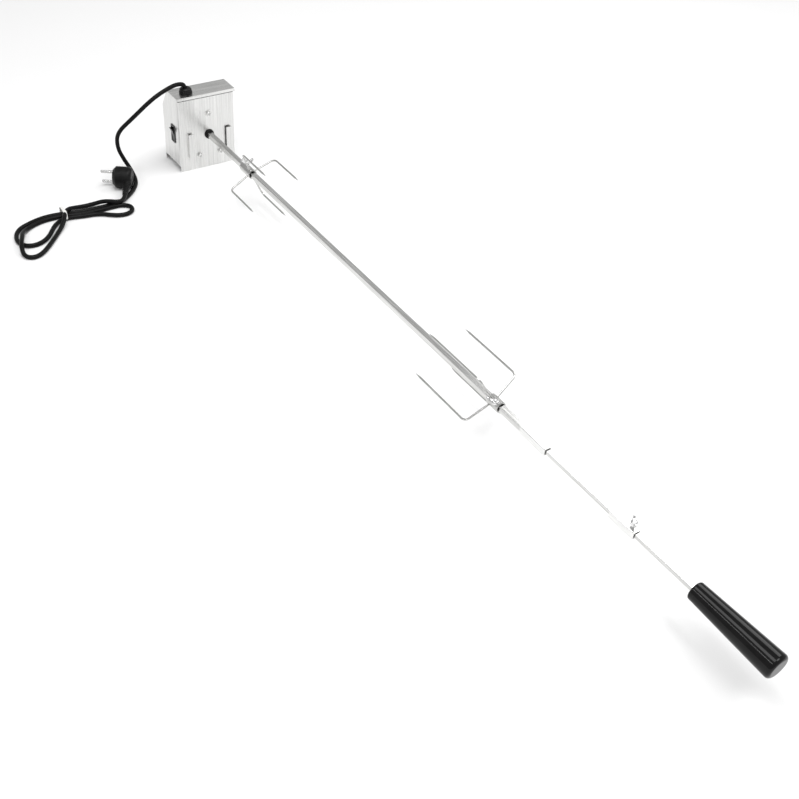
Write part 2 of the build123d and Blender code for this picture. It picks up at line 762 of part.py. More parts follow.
with BuildPart() as gland_nut_cap:
    with BuildSketch(on_gland(lid_top + gland_flange)):
        Circle(gland_nut_r)
    extrude(amount=gland_nut)
    fillet(gland_nut_cap.faces().sort_by(Axis.Z)[-1].edges(), gland_nut_round)
    with BuildSketch(on_gland(lid_top + gland_flange)):
        Circle(seal_r)
    extrude(amount=gland_nut - gland_lip, mode=Mode.SUBTRACT)
    with BuildSketch(on_gland(lid_top + gland_flange)):
        Circle(cord_r)
    extrude(amount=gland_nut + 1, mode=Mode.SUBTRACT)
save(gland_nut_cap, "gland_nut")

with BuildPart() as gland_seal:
    with BuildSketch(on_gland(lid_top + gland_flange)):
        Circle(seal_r)
        Circle(cord_r, mode=Mode.SUBTRACT)
    extrude(amount=gland_nut - gland_lip)
save(gland_seal, "gland_seal")

# ================================================================ spit
rod_end = sleeve_start + sleeve_lap
with BuildPart() as spit_rod:
    with BuildSketch(across(rod_start + rod_point)):
        Rectangle(rod, rod)
    extrude(amount=rod_end - rod_start - rod_point)
    fillet(spit_rod.edges().filter_by(Axis.X), edge_round)
    with BuildSketch(across(rod_start + rod_point)):
        RectangleRounded(rod, rod, edge_round)
    with BuildSketch(across(rod_start)):
        RectangleRounded(rod * 0.3, rod * 0.3, edge_round)
    loft()
    with BuildSketch(across(rod_end)):
        Circle(spigot_r)
    extrude(amount=-spigot_length - 1, mode=Mode.SUBTRACT)
save(spit_rod, "spit_rod")

with BuildPart() as coupling_sleeve:
    with BuildSketch(across(sleeve_start)):
        RectangleRounded(tube, tube, 1.0)
        Rectangle(rod, rod, mode=Mode.SUBTRACT)
    extrude(amount=sleeve_length)
save(coupling_sleeve, "coupling_sleeve")

handle_end = handle_start + handle_length
thin_end = handle_start + handle_bore
with BuildPart() as thin_rod:
    with BuildSketch(across(rod_end)):
        RectangleRounded(thin, thin, edge_round)
    extrude(amount=thin_end - rod_end)
    with BuildSketch(across(rod_end)):
        Circle(spigot_r)
    extrude(amount=-spigot_length)
save(thin_rod, "thin_rod")

with BuildPart() as handle:
    with BuildSketch(across(handle_start)):
        Circle(handle_small_r)
    with BuildSketch(across(handle_end)):
        Circle(handle_large_r)
    loft()
    fillet(handle.faces().sort_by(Axis.X)[0].edges(), 2.5)
    fillet(handle.faces().sort_by(Axis.X)[-1].edges(), 4.5)
    with BuildSketch(across(handle_start)):
        RectangleRounded(thin, thin, edge_round)
    extrude(amount=handle_bore, mode=Mode.SUBTRACT)
save(handle, "handle")


# ================================================================ wing screws
def screw_line(seat, turn):
    """A sketch plane across a wing screw's own line, at the spit's axis."""
    lift = math.radians(turn)
    return Plane(origin=Vector(seat, 0, 0), x_dir=(1, 0, 0),
                 z_dir=Vector(0, math.sin(lift), math.cos(lift)))


def wing_screw(seat, turn, wing_turn, tip, underside, name):
    """A wing screw that points at the spit's axis: its boss is underside away from the axis."""
    base = screw_line(seat, turn)
    along, out = base.x_dir, base.z_dir
    with BuildPart() as screw:
        with BuildSketch(base.offset(tip)):
            Circle(wing_thread_r)
        extrude(amount=underside - tip + 1)
        with BuildSketch(base.offset(underside)):
            Circle(wing_boss_r)
        extrude(amount=wing_boss)
        chamfer(screw.faces().sort_by(lambda face: face.center().dot(out))[-1].edges(), 0.6)
        # the two wings, drawn upright on a plane that holds the screw's axis
        spread = along * math.cos(math.radians(wing_turn))
        spread += out.cross(along) * math.sin(math.radians(wing_turn))
        wings = Plane(origin=base.origin + out * underside, x_dir=spread, z_dir=spread.cross(out))
        with BuildSketch(wings):
            for side in (-1, 1):
                with BuildLine():
                    Polyline((side * wing_root, wing_root_low), (side * wing_knee, wing_root_low),
                             (side * wing_span / 2, wing_tip_low),
                             (side * wing_span / 2, wing_high), (side * wing_knee, wing_high),
                             (side * wing_root, wing_boss - wing_root_low), close=True)
                make_face()
        extrude(amount=wing_thick / 2, both=True)
    save(screw, name)

# ================================================================ forks
forks = {
    "fork_1": (fork_1_x, 1, fork_1_turn, fork_1_prong, fork_1_collar, fork_1_screw_turn,
               fork_1_wing_turn),
    "fork_2": (fork_2_x, -1, fork_2_turn, fork_2_prong, fork_2_collar, fork_2_screw_turn,
               fork_2_wing_turn),
}
for name, (root_x, way, turn, prong, collar_length, screw_turn, wing_turn) in forks.items():
    seat = root_x - way * screw_behind
    with BuildPart() as collar:
        with BuildSketch(across(root_x + way * collar_lead)):
            Circle(collar_r)
            Circle(collar_bore_r, mode=Mode.SUBTRACT)
        extrude(amount=-way * collar_length)
        chamfer(collar.edges().filter_by(GeomType.CIRCLE).group_by(SortBy.RADIUS)[-1], 0.5)
        with BuildSketch(screw_line(seat, screw_turn)):
            Circle(wing_thread_r + wing_thread_gap)
        extrude(amount=collar_r + 3, mode=Mode.SUBTRACT)
    save(collar, f"{name}_collar")

    with BuildPart() as prongs:
        for k in range(prong_count):
            lift = math.radians(turn + 360 / prong_count * k)
            out = Vector(0, math.sin(lift), math.cos(lift))
            root = Vector(root_x, 0, 0) + out * (collar_r - 0.02)
            elbow = Vector(root_x + way * arm_lean, 0, 0) + out * arm_reach
            tip = elbow + Vector(way * (prong - point_length), 0, 0)
            with BuildLine() as route:
                FilletPolyline(root, elbow, tip, radius=prong_bend)
            with BuildSketch(Plane(origin=root, z_dir=elbow - root)):
                Circle(wire_r)
            sweep(path=route.wire())
            with BuildSketch(Plane(origin=tip, z_dir=(way, 0, 0))):
                Circle(wire_r)
            with BuildSketch(Plane(origin=tip, z_dir=(way, 0, 0)).offset(point_length)):
                Circle(0.25)
            loft()
        # the roots follow the collar's round outside
        with BuildSketch(across(root_x - 10)):
            Circle(collar_r)
        extrude(amount=20, mode=Mode.SUBTRACT)
    save(prongs, f"{name}_prongs")

    tip_from_axis = (rod / 2 * (abs(math.cos(math.radians(screw_turn)))
                                + abs(math.sin(math.radians(screw_turn)))) + tip_gap)
    wing_screw(seat, screw_turn, wing_turn, tip_from_axis, collar_r + wing_clear,
               f"{name}_wing_screw")

# ================================================================ stop bush on the thin rod
with BuildPart() as stop_bush:
    with BuildSketch(across(bush_start)):
        RectangleRounded(tube, tube, 1.0)
        Rectangle(tube - 2 * bush_wall, tube - 2 * bush_wall, mode=Mode.SUBTRACT)
    extrude(amount=bush_length)
    with BuildSketch(screw_line(bush_screw_x, 0)):
        Circle(wing_thread_r + wing_thread_gap)
    extrude(amount=tube, mode=Mode.SUBTRACT)
save(stop_bush, "stop_bush")
wing_screw(bush_screw_x, 0, bush_wing_turn, thin / 2 + tip_gap, tube / 2 + wing_clear,
           "bush_wing_screw")

# ================================================================ mains plug
def flat(angle):
    """A level direction, measured from +X towards +Y."""
    return Vector(math.cos(math.radians(angle)), math.sin(math.radians(angle)), 0)


pins_way = flat(plug_heading)
dip = math.radians(plug_dip)
cord_way = flat(plug_heading + 90) * math.cos(dip) - Vector(0, 0, math.sin(dip))
plug_middle = Vector(*plug_centre, plug_centre_z)
plug_face = Plane(origin=plug_middle, x_dir=cord_way, z_dir=pins_way)
exit_line = plug_middle - pins_way * plug_exit
with BuildPart() as plug_body:
    with BuildSketch(plug_face.offset(-plug_back)):
        Circle(plug_r)
    extrude(amount=plug_back + plug_front)
    fillet(plug_body.faces().sort_by(lambda f: f.center().dot(pins_way))[0].edges(), plug_round)
    chamfer(plug_body.faces().sort_by(lambda f: f.center().dot(pins_way))[-1].edges(), plug_bevel)
    with BuildSketch(Plane(origin=exit_line, z_dir=cord_way)):
        Circle(relief_root_r + relief_step)
    extrude(amount=plug_r + plug_neck)
    fillet(plug_body.faces().sort_by(lambda f: f.center().dot(cord_way))[-1].edges(), 1.0)
    # two round seats for the pins
    for side in (-1, 1):
        with BuildSketch(plug_face.offset(plug_front)):
            with Locations((0, side * pin_pitch / 2)):
                Circle(pin_seat_r)
        extrude(amount=-pin_seat, mode=Mode.SUBTRACT)
save(plug_body, "plug_body")

with BuildPart() as plug_pins:
    for side in (-1, 1):
        with BuildSketch(plug_face.offset(plug_front - pin_seat)):
            with Locations((0, side * pin_pitch / 2)):
                Circle(pin_seat_r)
        extrude(amount=pin_seat)
        with BuildSketch(plug_face.offset(plug_front)):
            with Locations((0, side * pin_pitch / 2)):
                Circle(pin_r)
        extrude(amount=pin_length)
    fillet(plug_pins.faces().group_by(lambda f: round(f.center().dot(pins_way), 3))[-1].edges(),
           pin_r * 0.7)
save(plug_pins, "plug_pins")

relief_root = exit_line + cord_way * (plug_r + plug_neck)
with BuildPart() as plug_relief:
    with BuildSketch(Plane(origin=relief_root, z_dir=cord_way)):
        Circle(relief_root_r)
    with BuildSketch(Plane(origin=relief_root + cord_way * relief_length, z_dir=cord_way)):
        Circle(cord_r + relief_tip_over)
    loft()
save(plug_relief, "plug_strain_relief")

# ================================================================ cord
# From inside the gland, over the left side and down to the surface, to the bundle.
cord_route = [
    (gland_x, gland_y, sheath_end), (gland_x, gland_y, 85.5), (-15, -43, 88), (-12, -60, 86),
    (-4, -92, 77.5), (-11, -125, 48), (-27, -146, 21), (-33, -146, -6), (-29, -140, -25),
    (-19, -132, -43), (1, -132, floor + cord_r), (23, -147, floor + cord_r),
    (40, -166, floor + cord_r),
]


def bend_radii(route):
    """Each corner's radius: 0.45 of its shorter run over the tangent of half its turn."""
    radii = []
    for before, corner, after in zip(route, route[1:], route[2:]):
        came, goes = Vector(*corner) - Vector(*before), Vector(*after) - Vector(*corner)
        half = math.radians(came.get_angle(goes) / 2)
        radii.append(0.45 * min(came.length, goes.length) / math.tan(half))
    return radii


def round_tube(route, across_d, name):
    """A cord: straight runs joined by tangent arcs, and its length."""
    radii = bend_radii(route)
    with BuildPart() as cord:
        with BuildLine() as path:
            FilletPolyline(*route, radius=radii)
        with BuildSketch(Plane(origin=route[0], z_dir=Vector(*route[1]) - Vector(*route[0]))):
            Circle(across_d / 2)
        sweep(path=path.wire())
    length = path.wire().length
    section = math.pi * across_d ** 2 / 4
    print(name, "length", round(length), "radii", [round(r, 1) for r in radii],
          "runs", [round((Vector(*b) - Vector(*a)).length) for a, b in zip(route, route[1:])],
          "volume over section x length", round(cord.part.volume / section / length, 4))
    save(cord, name)


round_tube(cord_route, cord_d, "cord_lead_out")

# the bundle's outer shape: a big loop, a waist at the tie, a small loop, and the entry
big_loop = Location((92, -332), -26)
small_loop = Location((68, -193), -20)
waist = [(37, -292), (38.5, -271), (32.5, -250), (32, -232), (36, -212), (44, -196), (84, -200),
         (69, -222), (66, -244), (62, -266), (78, -278), (100, -302)]
entry_half = 7.0
entry_way = (Vector(*cord_route[-1]) - Vector(*cord_route[-2])).normalized()
entry_side = Vector(-entry_way.Y, entry_way.X, 0) * entry_half
entry_middle = Vector(*cord_route[-1][:2], 0)
entry = [entry_middle - entry_side, entry_middle + entry_side, (80, -178), (50, -205)]
tie_middle = (48.5, -271.0)
tie_span = 24.0
tie_plane = Plane(origin=(*tie_middle, floor + hank_thick / 2), x_dir=(1, 0, 0), z_dir=(0, 1, 0))
with BuildPart() as tie_band:
    with BuildSketch(tie_plane):
        Rectangle(tie_span, hank_thick)
        Rectangle(tie_span - 2 * tie_thick, hank_thick - 2 * tie_thick, mode=Mode.SUBTRACT)
    extrude(amount=tie_wide / 2, both=True)
save(tie_band, "cord_tie")

with BuildPart() as hank:
    with BuildSketch(Plane.XY.offset(floor)):
        with Locations(big_loop):
            Ellipse(57, 28)
        with Locations(small_loop):
            Ellipse(29, 23)
        Polygon(*waist, align=None)
        Polygon(*entry, align=None)
    extrude(amount=hank_thick)
    with BuildSketch(tie_plane):
        Rectangle(3 * tie_span, 2 * hank_thick)
        Rectangle(tie_span - 2 * tie_thick, hank_thick - 2 * tie_thick, mode=Mode.SUBTRACT)
    extrude(amount=tie_wide / 2, both=True, mode=Mode.SUBTRACT)
    # a channel for the plug's strain relief, which ends against the bundle
    with BuildSketch(Plane(origin=relief_root, z_dir=cord_way)):
        Circle(relief_root_r + relief_step)
    extrude(amount=relief_length, mode=Mode.SUBTRACT)
save(hank, "cord_hank")

# ================================================================ wiring inside the case
terminal_y = case_left + switch_deep + terminal_long
upper_terminal = switch_z + terminal_rise
lower_terminal = switch_z - terminal_drop
can_side = rotor_axis[0] - coil_out_r
lead_x = gear_plate_back - can_depth / 2
lead_off = lead_d / 2 + 0.2
plate_stud = (-4.0, 40.5)
leads = {
    "lead_live": [(gland_x + lead_off, gland_y - 0.9, sheath_end),
                  (gland_x + lead_off, gland_y - 0.9, 52), (switch_x, -24, 28),
                  (switch_x, terminal_y + 10, upper_terminal),
                  (switch_x, terminal_y, upper_terminal)],
    "lead_switched": [(switch_x, terminal_y, lower_terminal),
                      (switch_x, terminal_y + 6, lower_terminal), (-31, -24, -6),
                      (lead_x, -14, rotor_axis[1] - lead_off),
                      (lead_x, can_side, rotor_axis[1] - lead_off)],
    "lead_neutral": [(gland_x - lead_off, gland_y - 0.9, sheath_end),
                     (gland_x - lead_off, gland_y - 0.9, 54), (lead_x, -22, 34),
                     (lead_x, -18, 10), (lead_x, -14, rotor_axis[1] + lead_off),
                     (lead_x, can_side, rotor_axis[1] + lead_off)],
    "lead_earth": [(gland_x, gland_y + 1.7, sheath_end), (gland_x, gland_y + 1.7, 54),
                   (gear_plate_back - 10, -14, 44), (gear_plate_back - 8, *plate_stud),
                   (gear_plate_back, *plate_stud)],
}
for name, route in leads.items():
    round_tube(route, lead_d, name)
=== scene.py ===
"""Looks of a rotisserie spit roaster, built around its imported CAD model.  Metres, in the CAD frame:
X runs along the spit from the motor to the handle, and Z is up."""
import math

import bmesh
import bpy
from mathutils import Matrix, Vector


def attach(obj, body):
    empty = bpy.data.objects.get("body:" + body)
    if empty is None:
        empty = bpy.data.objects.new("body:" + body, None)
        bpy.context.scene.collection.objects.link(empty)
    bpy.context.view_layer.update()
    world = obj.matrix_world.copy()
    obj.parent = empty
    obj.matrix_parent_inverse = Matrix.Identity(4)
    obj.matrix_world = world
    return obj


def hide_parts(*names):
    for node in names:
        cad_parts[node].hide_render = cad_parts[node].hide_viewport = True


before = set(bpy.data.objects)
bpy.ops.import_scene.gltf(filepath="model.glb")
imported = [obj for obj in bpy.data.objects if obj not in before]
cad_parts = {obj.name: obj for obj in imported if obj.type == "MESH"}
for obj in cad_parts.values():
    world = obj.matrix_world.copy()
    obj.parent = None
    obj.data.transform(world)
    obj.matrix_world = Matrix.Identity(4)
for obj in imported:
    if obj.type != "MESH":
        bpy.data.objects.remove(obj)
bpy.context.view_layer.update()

# ---------------------------------------------------------------- camera
# The roaster is seen from its handle end, from above and from the switch side,
# with a plain 46 mm lens.
view_right = Vector((0.56290, 0.82263, 0.08020))
view_down = Vector((0.57903, -0.32324, -0.74849))
view_ahead = Vector((-0.58981, 0.46776, -0.65827))
camera_data = bpy.data.cameras.new("camera")
camera_data.lens = 45.99
camera_data.sensor_width = 36.0
camera_data.clip_end = 50.0
camera = bpy.data.objects.new("camera", camera_data)
turn = Matrix((view_right, -view_down, -view_ahead)).transposed()
camera.matrix_world = Matrix.Translation((1.42172, -0.67020, 0.80444)) @ turn.to_4x4()
bpy.context.collection.objects.link(camera)
bpy.context.scene.camera = camera

# ---------------------------------------------------------------- mains cord
# A 6.6 mm round cord in a smooth black rubber sheath.  It leaves the gland on the lid, hangs down
# the switch side of the case and is folded into a loose hank, which ends in the plug's relief.
cord_radius = 0.0033
floor_height = -0.058
cord_rest = floor_height + cord_radius
cord_down = [
    (-0.014, -0.031, 0.072), (-0.014, -0.031, 0.0855), (-0.015, -0.043, 0.088),
    (-0.012, -0.060, 0.086), (-0.004, -0.092, 0.0775), (-0.011, -0.125, 0.048),
    (-0.027, -0.146, 0.021), (-0.033, -0.146, -0.006), (-0.029, -0.140, -0.025),
    (-0.019, -0.132, -0.043), (0.001, -0.132, cord_rest), (0.023, -0.147, cord_rest),
    (0.040, -0.166, cord_rest),
]
to_tie = [
    (0.047, -0.178, cord_rest), (0.049, -0.194, cord_rest), (0.050, -0.211, cord_rest),
    (0.050, -0.226, cord_rest), (0.049, -0.241, cord_rest), (0.0455, -0.256, cord_rest),
    (0.042, -0.271, cord_rest),
]
first_loop = [
    (0.040, -0.286, cord_rest), (0.040, -0.300, cord_rest), (0.043, -0.314, cord_rest),
    (0.048, -0.328, cord_rest), (0.054, -0.340, cord_rest), (0.064, -0.349, cord_rest),
    (0.077, -0.354, cord_rest), (0.090, -0.355, cord_rest), (0.101, -0.350, cord_rest),
    (0.106, -0.341, cord_rest), (0.106, -0.330, cord_rest), (0.100, -0.318, cord_rest),
    (0.091, -0.309, cord_rest), (0.080, -0.301, cord_rest), (0.069, -0.293, cord_rest),
    (0.061, -0.283, cord_rest), (0.0563, -0.271, cord_rest),
]
far_loop = [
    (0.059, -0.258, cord_rest), (0.0625, -0.244, cord_rest), (0.0645, -0.230, cord_rest),
    (0.069, -0.218, cord_rest), (0.077, -0.208, cord_rest), (0.084, -0.197, cord_rest),
    (0.086, -0.185, cord_rest), (0.081, -0.174, cord_rest), (0.070, -0.170, cord_rest),
    (0.061, -0.175, cord_rest), (0.057, -0.187, cord_rest), (0.057, -0.201, cord_rest),
    (0.0575, -0.215, cord_rest), (0.0575, -0.229, cord_rest), (0.056, -0.243, cord_rest),
    (0.0525, -0.257, cord_rest), (0.049, -0.271, cord_rest),
]
top_loop = [
    (0.0475, -0.286, cord_rest), (0.048, -0.301, cord_rest), (0.051, -0.314, cord_rest),
    (0.057, -0.327, cord_rest), (0.065, -0.337, -0.053), (0.077, -0.344, -0.049),
    (0.089, -0.348, -0.047), (0.103, -0.354, -0.047), (0.115, -0.358, -0.050),
    (0.126, -0.359, cord_rest), (0.135, -0.353, cord_rest), (0.136, -0.342, cord_rest),
    (0.129, -0.331, cord_rest), (0.119, -0.321, cord_rest), (0.108, -0.311, cord_rest),
    (0.095, -0.300, cord_rest), (0.084, -0.290, -0.0535), (0.075, -0.281, -0.050),
    (0.064, -0.275, -0.0465), (0.053, -0.270, -0.0465),
]
to_plug = [
    (0.043, -0.261, -0.048), (0.036, -0.249, -0.053), (0.0355, -0.235, cord_rest),
    (0.0375, -0.220, -0.0535), (0.045, -0.207, -0.048), (0.052, -0.197, -0.047),
    (0.057, -0.189, -0.0475), (0.0558, -0.1773, -0.049), (0.0444, -0.170, -0.0472),
]


def surface(name, metallic=0.0, specular=0.5):
    """A new material with its shader; the same-all-over values are set on the shader itself."""
    material = bpy.data.materials.new(name)
    material.use_nodes = True
    shader = material.node_tree.nodes["Principled BSDF"]
    shader.inputs["Metallic"].default_value = metallic
    shader.inputs["Specular IOR Level"].default_value = specular
    return material, shader


def mottle(material, size, stretch=(1, 1, 1), detail=4.0):
    """Noise whose grains are size metres wide, drawn out along an axis by stretch."""
    nodes, links = material.node_tree.nodes, material.node_tree.links
    place = nodes.new("ShaderNodeTexCoord")
    scale = nodes.new("ShaderNodeMapping")
    scale.inputs["Scale"].default_value = [1 / (size * s) for s in stretch]
    links.new(place.outputs["Object"], scale.inputs["Vector"])
    noise = nodes.new("ShaderNodeTexNoise")
    noise.inputs["Scale"].default_value = 1.0
    noise.inputs["Detail"].default_value = detail
    links.new(scale.outputs["Vector"], noise.inputs["Vector"])
    return noise.outputs["Fac"]


def colour_from(material, shader, pattern, dark, light, low=0.3, high=0.7):
    """Base colour that runs from dark to light as the pattern does."""
    nodes, links = material.node_tree.nodes, material.node_tree.links
    ramp = nodes.new("ShaderNodeValToRGB")
    ramp.color_ramp.elements[0].position = low
    ramp.color_ramp.elements[0].color = (*dark, 1)
    ramp.color_ramp.elements[1].position = high
    ramp.color_ramp.elements[1].color = (*light, 1)
    links.new(pattern, ramp.inputs["Fac"])
    links.new(ramp.outputs["Color"], shader.inputs["Base Color"])


def roughness_from(material, shader, pattern, smooth, rough):
    """Roughness that runs from smooth to rough as the pattern does."""
    nodes, links = material.node_tree.nodes, material.node_tree.links
    spread = nodes.new("ShaderNodeMapRange")
    spread.inputs["From Min"].default_value = 0.3
    spread.inputs["From Max"].default_value = 0.7
    spread.inputs["To Min"].default_value = smooth
    spread.inputs["To Max"].default_value = rough
    links.new(pattern, spread.inputs["Value"])
    links.new(spread.outputs["Result"], shader.inputs["Roughness"])


def relief_from(material, shader, pattern, depth, strength=1.0):
    """Bumps and scratches depth metres deep."""
    nodes, links = material.node_tree.nodes, material.node_tree.links
    bump = nodes.new("ShaderNodeBump")
    bump.inputs["Distance"].default_value = depth
    bump.inputs["Strength"].default_value = strength
    links.new(pattern, bump.inputs["Height"])
    links.new(bump.outputs["Normal"], shader.inputs["Normal"])


def show(thing, material, body):
    """Put a new piece in the scene with its material and its body."""
    piece = thing
    if not isinstance(thing, bpy.types.Object):
        piece = bpy.data.objects.new(thing.name, thing)
        bpy.context.collection.objects.link(piece)
    piece.data.materials.clear()
    piece.data.materials.append(material)
    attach(piece, body)
    return piece


def paint(material, *nodes):
    """Give CAD nodes this material in every one of their slots."""
    for node in nodes:
        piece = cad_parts[node]
        if not piece.material_slots:
            piece.data.materials.append(material)
        for slot in piece.material_slots:
            slot.material = material


sheath, shader = surface("cord_sheath_rubber", specular=0.12)
colour_from(sheath, shader, mottle(sheath, 0.004), (0.003, 0.003, 0.003), (0.008, 0.008, 0.008))
roughness_from(sheath, shader, mottle(sheath, 0.006), 0.30, 0.44)
relief_from(sheath, shader, mottle(sheath, 0.0008), 0.00004)

cord_curve = bpy.data.curves.new("mains_cord", "CURVE")
cord_curve.dimensions = "3D"
cord_line = cord_curve.splines.new("NURBS")
cord_points = cord_down + to_tie + first_loop + far_loop + top_loop + to_plug
cord_line.points.add(len(cord_points) - 1)
for point, place in zip(cord_line.points, cord_points):
    point.co = (*place, 1)
cord_line.order_u = 3
cord_line.use_endpoint_u = True
cord_line.resolution_u = 8
cord_curve.bevel_depth = cord_radius
cord_curve.bevel_resolution = 6
cord_curve.use_fill_caps = True
mains_cord = show(cord_curve, sheath, "housing")
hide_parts("cord_lead_out", "cord_hank")

# ---------------------------------------------------------------- cable tie
# A white nylon tie holds the hank at its waist.  It is a plain strap, 4 mm wide, with a small
# square head on top.
tie_middle = Vector((0.0485, -0.271, -0.0505))
tie_half_wide = 0.0118
tie_half_high = 0.0069
tie_strap = 0.0040
tie_gauge = 0.0010
tie_corner = 0.0045
tie_head_size = (0.0052, 0.0048, 0.0026)
tie_head_place = tie_middle + Vector((0.0062, 0, 0.0066))


def mesh_of(shape, name):
    """The finished mesh of a bmesh."""
    mesh = bpy.data.meshes.new(name)
    shape.to_mesh(mesh)
    shape.free()
    return mesh


def swept_strap(name, ring, width, gauge):
    """A closed strap: its middle line is ring in XZ, its width runs along Y."""
    shape = bmesh.new()
    rows = []
    count = len(ring)
    for i, (x, z) in enumerate(ring):
        ahead, behind = ring[(i + 1) % count], ring[i - 1]
        way = Vector((ahead[0] - behind[0], 0, ahead[1] - behind[1])).normalized()
        out = Vector((way.z, 0, -way.x))
        middle = Vector((x, 0, z))
        rows.append([shape.verts.new(middle + out * a + Vector((0, b, 0))) for a, b in (
            (-gauge / 2, -width / 2), (gauge / 2, -width / 2), (gauge / 2, width / 2),
            (-gauge / 2, width / 2))])
    for here, there in zip(rows, rows[1:] + rows[:1]):
        for k in range(4):
            shape.faces.new((here[k], here[(k + 1) % 4], there[(k + 1) % 4], there[k]))
    bmesh.ops.recalc_face_normals(shape, faces=shape.faces)
    return mesh_of(shape, name)


def round_edges(piece, width, segments=2):
    """Soften a piece's edges and shade it smoothly."""
    bevel = piece.modifiers.new("edges", "BEVEL")
    bevel.width = width
    bevel.segments = segments
    bevel.limit_method = "ANGLE"
    bevel.angle_limit = math.radians(40)
    bevel.harden_normals = False
    piece.data.polygons.foreach_set("use_smooth", [True] * len(piece.data.polygons))
    return piece


tie_ring = []
for corner_x, corner_z, start in ((1, 1, 0), (-1, 1, 90), (-1, -1, 180), (1, -1, 270)):
    for step in range(0, 91, 15):
        angle = math.radians(start + step)
        tie_ring.append((corner_x * (tie_half_wide - tie_corner) + tie_corner * math.cos(angle),
                         corner_z * (tie_half_high - tie_corner) + tie_corner * math.sin(angle)))

nylon, shader = surface("natural_nylon", specular=0.5)
colour_from(nylon, shader, mottle(nylon, 0.003), (0.74, 0.74, 0.72), (0.84, 0.84, 0.82))
roughness_from(nylon, shader, mottle(nylon, 0.002), 0.32, 0.46)
relief_from(nylon, shader, mottle(nylon, 0.0006), 0.00003)
shader.inputs["Subsurface Weight"].default_value = 0.08
shader.inputs["Subsurface Radius"].default_value = (0.002, 0.002, 0.002)

tie_loop = round_edges(show(swept_strap("tie_strap", tie_ring, tie_strap, tie_gauge), nylon,
                            "housing"), 0.0003)
tie_loop.data.transform(Matrix.Translation(tie_middle))


def block(name, size, middle):
    """A squared block with its middle at a place."""
    shape = bmesh.new()
    bmesh.ops.create_cube(shape, size=1.0)
    bmesh.ops.scale(shape, vec=size, verts=shape.verts)
    bmesh.ops.translate(shape, vec=middle, verts=shape.verts)
    return mesh_of(shape, name)


tie_head = round_edges(show(block("tie_head", tie_head_size, tie_head_place), nylon,
                            "housing"), 0.0006, 3)
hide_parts("cord_tie")

# ---------------------------------------------------------------- plug
# The right-angle plug is moulded in soft black PVC around two round nickel-plated pins.  A ribbed,
# tapered strain relief grows out of its side and grips the cord.
plug_rubber, shader = surface("plug_rubber", specular=0.15)
colour_from(plug_rubber, shader, mottle(plug_rubber, 0.008), (0.003, 0.003, 0.003),
            (0.008, 0.008, 0.008))
roughness_from(plug_rubber, shader, mottle(plug_rubber, 0.005), 0.34, 0.50)
relief_from(plug_rubber, shader, mottle(plug_rubber, 0.0007), 0.00006)
pin_plate, shader = surface("pin_plate", metallic=1.0)
colour_from(pin_plate, shader, mottle(pin_plate, 0.003), (0.55, 0.55, 0.55), (0.72, 0.72, 0.71))
roughness_from(pin_plate, shader, mottle(pin_plate, 0.0006, (8, 8, 1)), 0.18, 0.34)
relief_from(pin_plate, shader, mottle(pin_plate, 0.0004, (10, 10, 1)), 0.00001)
paint(plug_rubber, "plug_body")
paint(pin_plate, "plug_pins")


def skin(shape, rings):
    """Close a stack of equal rings: bands between them and a cap on each end."""
    count = len(rings[0])
    for here, there in zip(rings, rings[1:]):
        for k in range(count):
            shape.faces.new((here[k], here[(k + 1) % count], there[(k + 1) % count], there[k]))
    shape.faces.new(rings[0][::-1])
    shape.faces.new(rings[-1])


def turned(name, profile, segments, wobble=None):
    """A turned piece: profile is (height, radius) pairs along Z, closed at both ends on the axis."""
    shape = bmesh.new()
    rings = []
    for height, radius in profile:
        ring = []
        for k in range(segments):
            angle = 2 * math.pi * k / segments
            r = radius * (wobble(height, radius, angle) if wobble else 1.0)
            ring.append(shape.verts.new((r * math.cos(angle), r * math.sin(angle), height)))
        rings.append(ring)
    skin(shape, rings)
    bmesh.ops.recalc_face_normals(shape, faces=shape.faces)
    return mesh_of(shape, name)


def aim(mesh, start, way):
    """Stand a turned mesh at start with its Z axis along way."""
    turn = Vector(way).to_track_quat("Z", "Y").to_matrix().to_4x4()
    mesh.transform(Matrix.Translation(start) @ turn)
    return mesh


plug_turn = math.radians(-122.0)
plug_dip = math.radians(8.0)
plug_radius = 0.017
relief_behind = 0.013          # from the plug's middle, away from the pins
relief_out = 0.0195            # from the plug's middle, along the cord
pins_way = Vector((math.cos(plug_turn), math.sin(plug_turn), 0))
cord_way = Vector((-math.sin(plug_turn) * math.cos(plug_dip),
                   math.cos(plug_turn) * math.cos(plug_dip), -math.sin(plug_dip)))
plug_middle = Vector((-0.0004, -0.158, floor_height + plug_radius))
relief_start = plug_middle - pins_way * relief_behind + cord_way * relief_out
relief_long = 0.025
relief_root = 0.0060
relief_taper = 0.0022
relief_grooves = 6
first_groove = 0.0030
groove_pitch = 0.0034
groove_floor = 0.0011
relief_profile = [(0.0, relief_root), (0.0016, relief_root)]
for groove in range(relief_grooves):
    at = first_groove + groove * groove_pitch
    thick = relief_root - relief_taper * at / relief_long
    relief_profile += [(at - 0.0006, thick - 0.0001), (at - 0.0002, thick - groove_floor),
                       (at + 0.0005, thick - groove_floor), (at + 0.0009, thick - 0.0001)]
relief_profile += [(0.0240, 0.0039), (0.0248, 0.0037), (relief_long, 0.0034)]
relief = show(aim(turned("plug_relief", relief_profile, 48), relief_start, cord_way),
              plug_rubber, "housing")
round_edges(relief, 0.0002)
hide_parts("plug_strain_relief")

